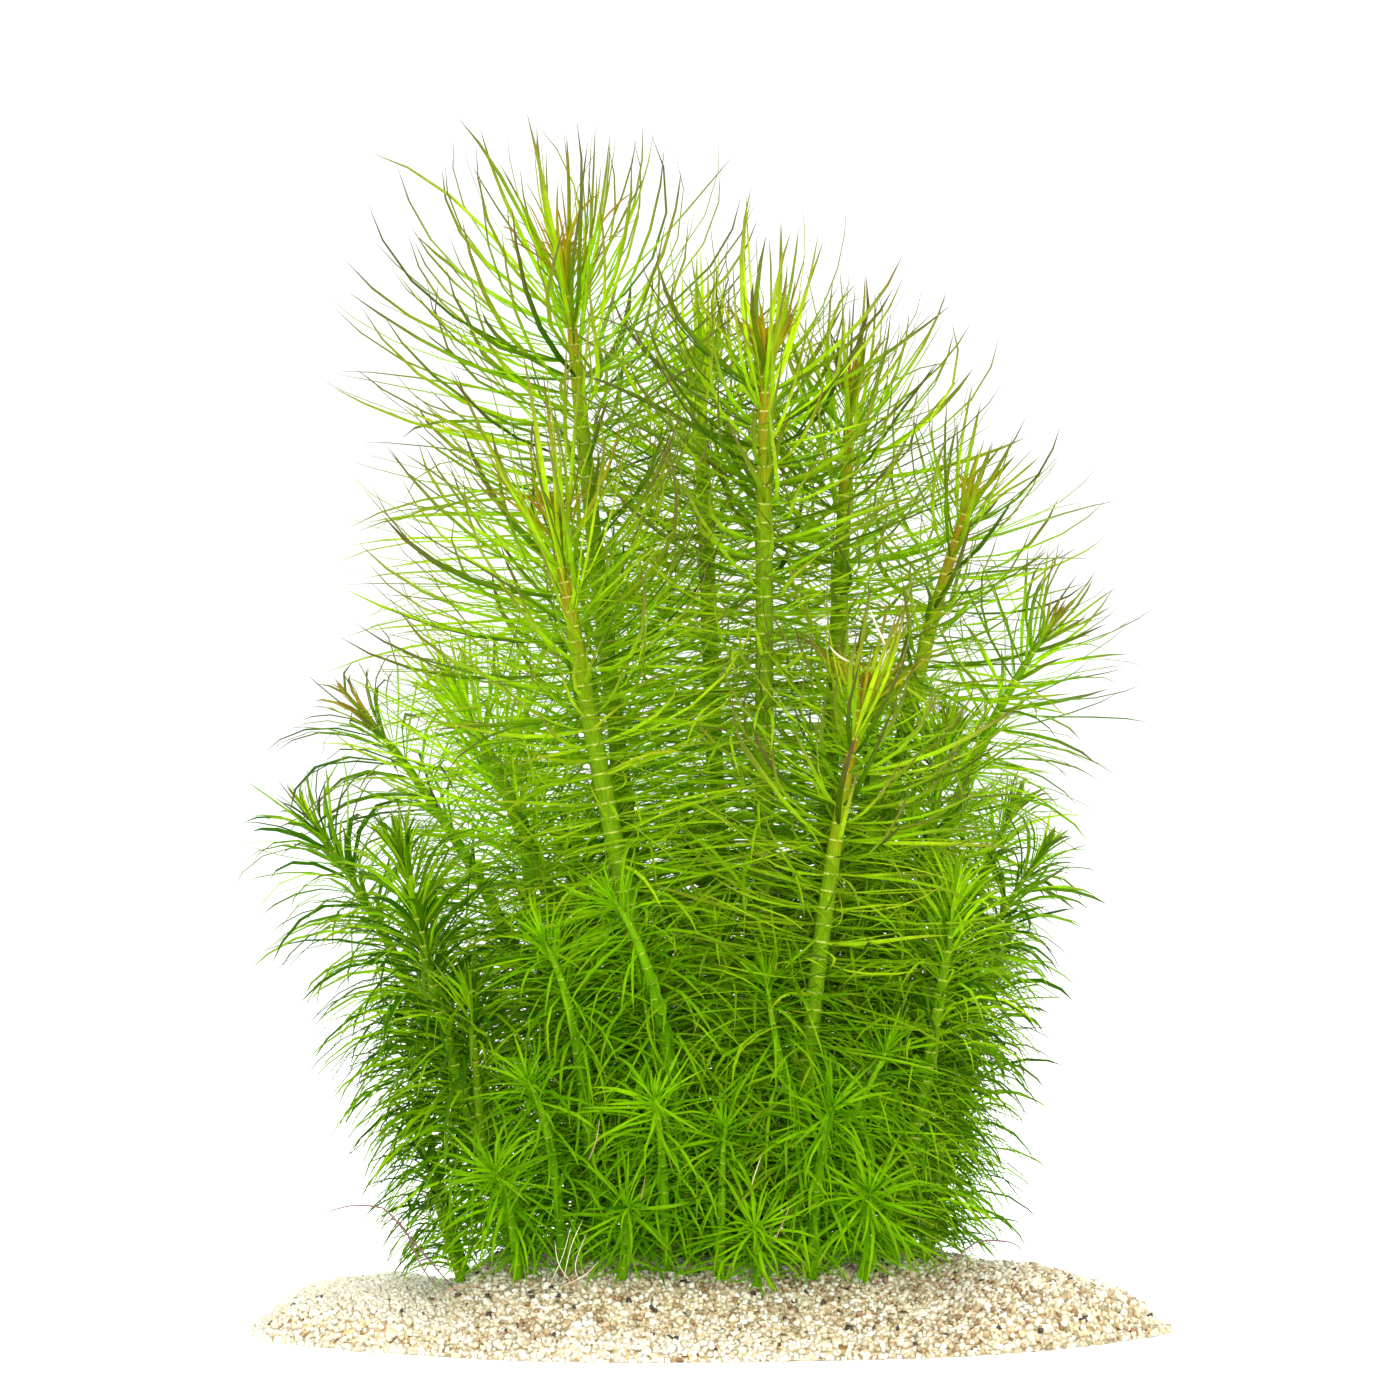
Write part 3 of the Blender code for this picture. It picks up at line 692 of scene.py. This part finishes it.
def model_mound(material):
    """The body of the bed: a sphere pressed to the bed's own top, rim and flat underside."""
    bpy.ops.mesh.primitive_uv_sphere_add(segments=160, ring_count=72, radius=1)
    thing = bpy.context.object
    mesh = thing.data
    points = points_of(mesh)
    polar = np.arccos(np.clip(points[:, 2], -1, 1)) / (math.pi / 2)
    angle = np.arctan2(points[:, 1], points[:, 0])
    out = np.where(polar <= 1, polar, 2 - polar) * bed_outline(angle) * MOUND_SHARE
    x = out * np.cos(angle) * BED_HALF_X
    y = out * np.sin(angle) * BED_HALF_Y
    rim = smooth_step(0.94, 1.0, bed_out(x, y) / MOUND_SHARE)
    top = (bed_height(x, y) - MOUND_BELOW) * (1 - RIM_FLATTEN * rim)
    place_points(mesh, np.stack([x, y, np.where(polar <= 1, top, 0.0)], -1))
    mesh.shade_smooth()
    mesh.name = "gravel_mound"
    bpy.data.objects.remove(thing)
    add_piece(mesh, material, "gravel_bed")


def model_grain():
    """The angular chip that every grain is a copy of."""
    bpy.ops.mesh.primitive_cube_add(size=1.15)
    chip = bpy.context.object
    bpy.ops.object.mode_set(mode="EDIT")
    bpy.ops.mesh.select_all(action="SELECT")
    bpy.ops.mesh.quads_convert_to_tris()
    bpy.ops.object.mode_set(mode="OBJECT")
    return take_mesh(chip)


def scatter_grains(stems, rng):
    """Centre, size and tone of every grain on the bed, in staggered rows; the tone is painted paler
    towards the front and left end as painted light.
    """
    rows = np.arange(-BED_HALF_Y - 2, BED_HALF_Y + 2, GRAIN_SPACING * 0.866)
    columns = np.arange(-BED_HALF_X - 4, BED_HALF_X + 4, GRAIN_SPACING)
    x, y = np.meshgrid(columns, rows)
    x[1::2] += GRAIN_SPACING / 2
    x, y = x.ravel(), y.ravel()
    x = x + rng.uniform(-0.42, 0.42, len(x)) * GRAIN_SPACING
    y = y + rng.uniform(-0.42, 0.42, len(y)) * GRAIN_SPACING
    out = bed_out(x, y)
    kept = out < 1.0
    kept &= (out < RIM_FROM) | (rng.uniform(0, 1, len(x)) < 1.6 - out * 0.75)
    for stem in stems.values():
        centre = stem.at(np.array([stem.length - PLANT_DEPTH]))[0][0]
        if centre[2] < BED_TOP + 2:
            kept &= np.hypot(x - centre[0], y - centre[1]) > stem.width / 2 + 0.5
    x, y, out = x[kept], y[kept], out[kept]
    count = len(x)
    size = GRAIN_SIZE * np.clip(rng.lognormal(0, 0.2, count), 0.6, 1.6)
    height = (bed_height(x, y) - 0.5) * (1 - RIM_FLATTEN * smooth_step(RIM_FROM, 1.0, out))
    z = np.maximum(height + rng.uniform(-0.3, 0.45, count), size * 0.45)
    pick = rng.uniform(0, 1, count)
    # Painted light: grains towards the front and the left end are painted paler, as if washed out by
    # bright light; the few dark specks keep their tone.
    painted_light = smooth_step(-60, -74, y) * 0.9 + smooth_step(45, 75, -x) * 0.7
    tone = np.where(pick < SPECK_SHARE, pick * (1 - 0.75 * np.clip(painted_light, 0, 1)), pick)
    return np.stack([x, y, z], -1), size, tone, rng.uniform(0, 1, count)


def lay_grains(stems, material, rng):
    """All the grains, as joined meshes by where they lie: back, middle and front."""
    shape, corners, sizes = model_grain()
    centres, size, tone, tint = scatter_grains(stems, rng)
    count = len(centres)
    stretch = rng.uniform(0.66, 1.28, (count, 1, 3))
    dents = rng.uniform(0.7, 1.25, (count, len(shape), 1))
    local = shape[None] * dents * stretch * size[:, None, None]
    axis = unit(rng.normal(0, 1, (count, 3)))[:, None, :]
    angle = rng.uniform(0, math.tau, count)[:, None, None]
    local = (
        local * np.cos(angle)
        + np.cross(np.broadcast_to(axis, local.shape), local) * np.sin(angle)
        + axis * (local * axis).sum(-1, keepdims=True) * (1 - np.cos(angle))
    )
    points = centres[:, None, :] + local
    points[..., 2] = np.maximum(points[..., 2], 0.02)
    for band, low, high in GRAIN_BANDS:
        chosen = (centres[:, 1] >= low) & (centres[:, 1] < high)
        values = {"tone": tone[chosen][:, None], "tint": tint[chosen][:, None]}
        mesh = join_copies("grains_" + band, points[chosen], corners, sizes, **values)
        add_piece(mesh, material, "gravel_bed")


# Dry strands and dead leaves


def smooth_path(points):
    """A smooth line through a few points, at every step of a blade's path."""
    points = np.array(points, float)
    ends = np.vstack([2 * points[0] - points[1], points, 2 * points[-1] - points[-2]])
    where = np.linspace(0, len(points) - 1, PATH_STEPS + 1)
    index = np.minimum(where.astype(int), len(points) - 2)
    t = (where - index)[:, None]
    before, first, second, after = (ends[index + i] for i in range(4))
    bend = 2 * before - 5 * first + 4 * second - after
    swing = 3 * first - before - 3 * second + after
    return 0.5 * (2 * first + (second - before) * t + bend * t * t + swing * t ** 3)


def lay_strands(name, node, strands, material, rng):
    """Dry strands of one kind, each laid along its own few points."""
    blade = model_blade(STRAND_CUTS)
    lines = np.array([smooth_path(points) for points, _, _ in strands])
    ways = unit(np.gradient(lines, axis=1))
    count = len(strands)
    first = unit(lines[:, -1] - lines[:, 0])
    rows = {
        "side": unit(np.cross(first, rng.normal(0, 1, (count, 3)))),
        "roll": np.zeros(count),
        "twist": rng.uniform(0, 3, count),
        "blade": np.array([width for _, width, _ in strands]),
    }
    points = sweep_blades(rows, lines, ways, np.ones(count), blade, STRAND_KEEL)
    tones = np.array([tone for _, _, tone in strands])
    mesh = join_copies(name, points, *blade[3:], tone=tones[:, None])
    mesh.shade_smooth()
    add_piece(mesh, material, node)


# Materials


def linear(red, green, blue):
    """A colour given as 0 to 255 on a screen, as a shader takes it."""
    parts = [part / 255 for part in (red, green, blue)]
    return (*[p / 12.92 if p <= 0.04045 else ((p + 0.055) / 1.055) ** 2.4 for p in parts], 1)


def feed(tree, socket, value):
    """Links another node's output to an input, or sets the input's own value."""
    if isinstance(value, bpy.types.NodeSocket):
        tree.links.new(value, socket)
    else:
        socket.default_value = value


def new_node(tree, kind, inputs=None, **settings):
    """Adds a shader node with its settings, and sets or links its inputs by name or number."""
    node = tree.nodes.new("ShaderNode" + kind)
    for name, value in settings.items():
        setattr(node, name, value)
    for name, value in (inputs or {}).items():
        feed(tree, node.inputs[name], value)
    return node


def stored(tree, name):
    """The number stored at the mesh's points under this name."""
    return new_node(tree, "Attribute", attribute_name=name).outputs["Fac"]


def maths(tree, operation, first, second, clamp=False):
    """A sum on two numbers or sockets."""
    inputs = {0: first, 1: second}
    return new_node(tree, "Math", inputs, operation=operation, use_clamp=clamp).outputs[0]


def blend(tree, share, first, second, mode="MIX"):
    """One colour mixed with another."""
    node = new_node(tree, "Mix", data_type="RGBA", blend_type=mode)
    for place, value in ((0, share), (6, first), (7, second)):
        feed(tree, node.inputs[place], value)
    return node.outputs[2]


def tinted(tree, colour, tint):
    """A colour multiplied by another."""
    return blend(tree, 1.0, colour, tint, "MULTIPLY")


def ramp(tree, share, stops, interpolation="LINEAR"):
    """A colour that runs through stops, each a place and a colour."""
    node = new_node(tree, "ValToRGB", {"Fac": share})
    node.color_ramp.interpolation = interpolation
    elements = node.color_ramp.elements
    while len(elements) < len(stops):
        elements.new(0.5)
    for element, (place, colour) in zip(elements, stops):
        element.position = place
        element.color = colour
    return node.outputs["Color"]


def start_material(name):
    """A material with nothing in it but its output."""
    material = bpy.data.materials.new(name)
    material.use_nodes = True
    tree = material.node_tree
    tree.nodes.clear()
    tree.nodes.new("ShaderNodeOutputMaterial")
    return material, tree


def end_material(material, shader):
    """Links a shader to the material's output, and gives the material back."""
    tree = material.node_tree
    tree.links.new(shader, tree.nodes[0].inputs["Surface"])
    return material


def make_mottle():
    """A node group that makes any colour uneven, lighter here and darker there."""
    group = bpy.data.node_groups.new("mottle", "ShaderNodeTree")
    group.interface.new_socket("Colour", in_out="INPUT", socket_type="NodeSocketColor")
    for name, value in (("Scale", 400.0), ("Strength", 0.3)):
        socket = group.interface.new_socket(name, in_out="INPUT", socket_type="NodeSocketFloat")
        socket.default_value = value
    group.interface.new_socket("Colour", in_out="OUTPUT", socket_type="NodeSocketColor")
    group.interface.new_socket("Grain", in_out="OUTPUT", socket_type="NodeSocketFloat")
    given = group.nodes.new("NodeGroupInput")
    result = group.nodes.new("NodeGroupOutput")
    place = group.nodes.new("ShaderNodeTexCoord")
    texture = {"Vector": place.outputs["Object"], "Scale": given.outputs["Scale"], "Detail": 2.0}
    noise = new_node(group, "TexNoise", texture)
    centred = maths(group, "SUBTRACT", noise.outputs["Fac"], 0.5)
    swing = maths(group, "MULTIPLY", centred, given.outputs["Strength"])
    level = maths(group, "ADD", maths(group, "MULTIPLY", swing, 2.0), 1.0)
    grey = new_node(group, "CombineXYZ", {0: level, 1: level, 2: level})
    colour = tinted(group, given.outputs["Colour"], grey.outputs[0])
    group.links.new(colour, result.inputs["Colour"])
    group.links.new(noise.outputs["Fac"], result.inputs["Grain"])
    return group


def mottled(tree, colour, scale, strength):
    """A colour made uneven by the mottle group, and the group's noise."""
    inputs = {"Colour": colour, "Scale": scale, "Strength": strength}
    node = new_node(tree, "Group", inputs, node_tree=MOTTLE)
    return node.outputs["Colour"], node.outputs["Grain"]


def part_way(tree, value, low, high):
    """How far a number has come from low to high, from 0 to 1."""
    inputs = {"Value": value, "From Min": low, "From Max": high}
    return new_node(tree, "MapRange", inputs).outputs[0]


def relief(tree, height, strength, distance, invert=False):
    """Small bumps where a number rises."""
    inputs = {"Height": height, "Strength": strength, "Distance": distance}
    return new_node(tree, "Bump", inputs, invert=invert).outputs[0]


def surface(tree, colour, roughness, **inputs):
    """A solid surface, and whatever else its shader is given."""
    inputs = {name.replace("_", " "): value for name, value in inputs.items()}
    inputs = {"Base Color": colour, "Roughness": roughness, **inputs}
    return new_node(tree, "BsdfPrincipled", inputs).outputs[0]


def light_through(tree, outer, colour, glow, share):
    """Lets a share of the light pass through a surface, tinted by its own colour and a glow."""
    inner = new_node(tree, "BsdfTranslucent", {"Color": tinted(tree, colour, glow)})
    mix = new_node(tree, "MixShader", {0: share, 1: outer, 2: inner.outputs[0]})
    return mix.outputs[0]


def leaf_material(name, lime, green, deep, copper, tip, glow):
    """A thin living leaf: lit from in front and through its blade, with a darker, greyer tip."""
    material, tree = start_material(name)
    along = stored(tree, "along")
    # The stored shade runs from lime through green to deep green; it holds each leaf's own tone and
    # the painted shade set in leaf_rows.
    body = ramp(tree, stored(tree, "shade"), ((0, lime), (0.5, green), (1, deep)))
    greener = tinted(tree, body, (0.85, 1.0, 0.75, 1))
    body = blend(tree, stored(tree, "age"), body, greener)
    rusty = maths(tree, "ADD", maths(tree, "MULTIPLY", along, 0.3), 0.7)
    rusty = maths(tree, "MULTIPLY", rusty, stored(tree, "copper"), clamp=True)
    body = blend(tree, rusty, body, copper)
    ending = part_way(tree, along, 0.45, 1.0)
    body = blend(tree, ending, body, tinted(tree, body, (0.78, 0.74, 0.6, 1)))
    ending = maths(tree, "MULTIPLY", ending, stored(tree, "grey"), clamp=True)
    body = blend(tree, ending, body, tip)
    uneven, _ = mottled(tree, body, 260, 0.28)
    blade = surface(tree, uneven, 0.5, Specular_IOR_Level=0.025)
    return end_material(material, light_through(tree, blade, uneven, glow, 0.5))


def stem_material(name, young, fresh, old, ring):
    """A smooth green stem with fine ribs along it and a pale ring at each node."""
    material, tree = start_material(name)
    skin = new_node(tree, "UVMap", uv_map="stem_skin").outputs["UV"]
    texture = {"Vector": skin, "Scale": 6.0, "Detail": 2.0, "Roughness": 0.6}
    fibres = new_node(tree, "TexNoise", texture).outputs["Fac"]
    body = ramp(tree, stored(tree, "age"), ((0, young), (0.35, fresh), (1, old)))
    streak = part_way(tree, fibres, 0.35, 0.65)
    body = blend(tree, streak, tinted(tree, body, (0.55, 0.75, 0.5, 1)), body)
    body = blend(tree, stored(tree, "ring"), body, ring)
    uneven, _ = mottled(tree, body, 180, 0.2)
    ribs = relief(tree, fibres, 0.3, 0.0003)
    bark = surface(tree, uneven, 0.4, Normal=ribs, Specular_IOR_Level=0.03)
    return end_material(material, light_through(tree, bark, uneven, (1.1, 1.25, 0.6, 1), 0.25))


GRAIN_TONES = (
    (0.0, linear(242, 239, 224)),
    (0.22, linear(232, 226, 202)),
    (0.44, linear(220, 208, 174)),
    (0.62, linear(202, 184, 146)),
    (0.76, linear(186, 164, 124)),
    (0.86, linear(164, 150, 116)),
    (0.93, linear(146, 116, 80)),
    (0.988, linear(66, 56, 46)),
)


def grain_material():
    """Quartz grains, each with a tone of its own, painted paler towards the front and left end as
    painted light.
    """
    material, tree = start_material("quartz grain")
    body = ramp(tree, stored(tree, "tone"), GRAIN_TONES, "CONSTANT")
    tints = ((0, (0.82, 0.8, 0.78, 1)), (1, (1.04, 1.02, 0.98, 1)))
    body = tinted(tree, body, ramp(tree, stored(tree, "tint"), tints))
    uneven, noise = mottled(tree, body, 900, 0.25)
    pits = relief(tree, noise, 0.35, 0.0002)
    return end_material(material, surface(tree, uneven, 0.5, Normal=pits))


def dry_material():
    """Dead, dried leaf and root: purple-brown to straw."""
    material, tree = start_material("dry strand")
    tones = ((0, linear(120, 86, 84)), (0.5, linear(176, 140, 96)), (1, linear(240, 226, 190)))
    body = ramp(tree, stored(tree, "tone"), tones)
    uneven, _ = mottled(tree, body, 500, 0.3)
    return end_material(material, surface(tree, uneven, 0.7))


def mound_material():
    """What shows between the grains: more grains of the same tones, darkened and warmed as painted
    shade in the gaps.
    """
    material, tree = start_material("packed gravel")
    place = new_node(tree, "TexCoord").outputs["Object"]
    cells = new_node(tree, "TexVoronoi", {"Vector": place, "Scale": 620.0})
    pick = new_node(tree, "SeparateColor", {"Color": cells.outputs["Color"]})
    body = ramp(tree, pick.outputs[0], GRAIN_TONES, "CONSTANT")
    # Painted shade: the tones are darkened and warmed for the gaps between the grains.
    uneven, _ = mottled(tree, tinted(tree, body, (0.95, 0.88, 0.74, 1)), 500, 0.3)
    heaps = relief(tree, cells.outputs["Distance"], 0.8, 0.0006, invert=True)
    return end_material(material, surface(tree, uneven, 0.7, Normal=heaps))


# Floor, light and camera


def set_the_stage():
    """A plain white floor, soft studio light and the camera of the photograph's view."""
    bpy.ops.mesh.primitive_plane_add(size=12, location=(0, 0, 0))
    floor = bpy.context.object
    floor.name = "floor"
    material, tree = start_material("white floor")
    white = surface(
        tree, (0.9, 0.9, 0.9, 1), 0.9, Specular_IOR_Level=0.1, Emission_Color=(1, 1, 1, 1),
        Emission_Strength=0.3,
    )
    floor.data.materials.append(end_material(material, white))

    scene = bpy.context.scene
    scene.world = bpy.data.worlds.new("studio")
    scene.world.use_nodes = True
    sky = scene.world.node_tree.nodes["Background"].inputs
    sky["Color"].default_value = (1, 1, 1, 1)
    sky["Strength"].default_value = 1.2

    lights = (
        ("back light", (0.3, 0.9, 1.0), 0.9, 14),
        ("key light", (-0.5, -0.9, 1.1), 0.8, 6),
        ("front light", (0.1, -1.5, 0.25), 0.5, 13),
    )
    for name, place, size, power in lights:
        bpy.ops.object.light_add(type="AREA", location=place)
        light = bpy.context.object
        light.name = name
        light.data.shape = "DISK"
        light.data.size = size
        light.data.energy = power
        aim = np.array((0, 0, 0.13)) - np.array(place)
        flat = math.hypot(aim[0], aim[1])
        light.rotation_euler = (math.atan2(flat, -aim[2]), 0, math.atan2(-aim[0], aim[1]))

    camera = bpy.data.objects.new("camera", bpy.data.cameras.new("camera"))
    scene.collection.objects.link(camera)
    camera.location = (0, -1.5, 0.1575)
    camera.rotation_euler = (math.pi / 2, 0, 0)
    camera.data.lens = 154.3
    camera.data.sensor_width = 36
    camera.data.clip_start = 0.01
    camera.data.clip_end = 50
    scene.camera = camera
    scene.view_settings.view_transform = "Standard"
    scene.view_settings.look = "None"


# Everything together

MOTTLE = make_mottle()

LOW_LEAF = leaf_material(
    "low leaf", linear(198, 230, 24), linear(156, 200, 14), linear(66, 122, 5),
    linear(190, 140, 70), linear(112, 92, 92), (1.32, 1.3, 0.5, 1),
)
LEAVES = {
    "tall": leaf_material(
        "tall leaf", linear(198, 226, 32), linear(160, 202, 20), linear(76, 122, 8),
        linear(206, 160, 48), linear(120, 98, 66), (1.32, 1.26, 0.7, 1),
    ),
    "mid": LOW_LEAF,
    "low": LOW_LEAF,
    # The star rosettes at the foot of the clump have deeper greens than the other leaves: partly
    # their own colour, partly painted shade.
    "star": leaf_material(
        "star leaf", linear(150, 200, 9), linear(108, 168, 5), linear(56, 118, 2),
        linear(160, 150, 30), linear(110, 130, 40), (1.25, 1.3, 0.5, 1),
    ),
}
LOW_STEM = stem_material(
    "low stem", linear(130, 164, 26), linear(138, 178, 18), linear(126, 172, 14),
    linear(220, 228, 90),
)
STEMS = {
    "tall": stem_material(
        "tall stem", linear(204, 150, 44), linear(178, 180, 24), linear(144, 178, 20),
        linear(240, 240, 120),
    ),
    "mid": LOW_STEM,
    "low": LOW_STEM,
    "star": stem_material(
        "star stem", linear(146, 194, 20), linear(128, 184, 14), linear(112, 174, 10),
        linear(200, 220, 70),
    ),
}


def other_stems(stems, own):
    """A search tree of points on every other stem, and how near a leaf may come to each."""
    points, near = [], []
    for name, stem in stems.items():
        if name in own:
            continue
        downs = np.arange(1.0, stem.length, 1.6)
        points.append(stem.at(downs)[0])
        near.append(stem.radius(downs) + STEM_GAP)
    points = np.concatenate(points)
    tree = kdtree.KDTree(len(points))
    for i, point in enumerate(points):
        tree.insert(point, i)
    tree.balance()
    return tree, np.concatenate(near)


def plan_shoots():
    """Every main and side shoot: its stem, leaf habit, the frame's node it belongs to and slot."""
    plans = {}
    for name, row in SHOOTS.items():
        foot, tip, reach, opening, longest, width, spacing, around, copper, dark, kind = row
        reach, lift = LEANING.get(name, STAR_LEAN if kind == "star" else (reach, 0.5))
        foot = (*foot, bed_height(*foot) - PLANT_DEPTH)
        stem = Stem(foot, tip, reach, lift, width, PLANT_DEPTH + BARE_ABOVE_GRAVEL)
        habit = (opening, longest, spacing, around, copper, dark, kind)
        plans[name] = (stem, habit, name, SLOTS[kind])
    for number, (parent, height, tip, longest, dark) in enumerate(SIDE_SHOOTS, 1):
        main, _, _, slot = plans[parent]
        foot = main.line[np.argmin(np.abs(main.line[:, 2] - height))]
        stem = Stem(foot, tip, 0.6, 0.4, SIDE_STEM_WIDTH, 4)
        habit = (SIDE_OPENING, longest, 3.4, 11, 0.0, dark, "low" if dark > 0.25 else "star")
        plans["side_%d" % number] = (stem, habit, parent, slot)
    return plans


def grow_plants():
    """Every shoot's stem and leaves."""
    blades = {kind: model_blade(LONG_CUTS if kind == "tall" else SHORT_CUTS) for kind in HABITS}
    plans = plan_shoots()
    stems = {name: plan[0] for name, plan in plans.items()}
    for number, (name, (stem, habit, node, slot)) in enumerate(plans.items()):
        rng = np.random.default_rng(700 + number)
        kind = habit[-1]
        rows = leaf_rows(habit, stem, rng, SHORT_SIDES.get(name))
        tree, clearances = other_stems(stems, (name, node))
        lines, ways, share = clear_lines(rows, tree, clearances)
        grow_leaves(name, node, rows, lines, ways, share, blades[kind], LEAVES[kind])
        grow_stem(name, node, stem, habit[2], kind, STEMS[kind])
    return stems


stems = grow_plants()
model_mound(mound_material())
lay_grains(stems, grain_material(), np.random.default_rng(42))
dry = dry_material()
rng = np.random.default_rng(5)
lay_strands("wiry_strands", "gravel_bed", WIRY_STRANDS, dry, rng)
lay_strands("straw_strands", "gravel_bed", STRAW_STRANDS, dry, rng)
lay_strands("dead_leaves", "front_right", DEAD_LEAVES, dry, rng)
set_the_stage()
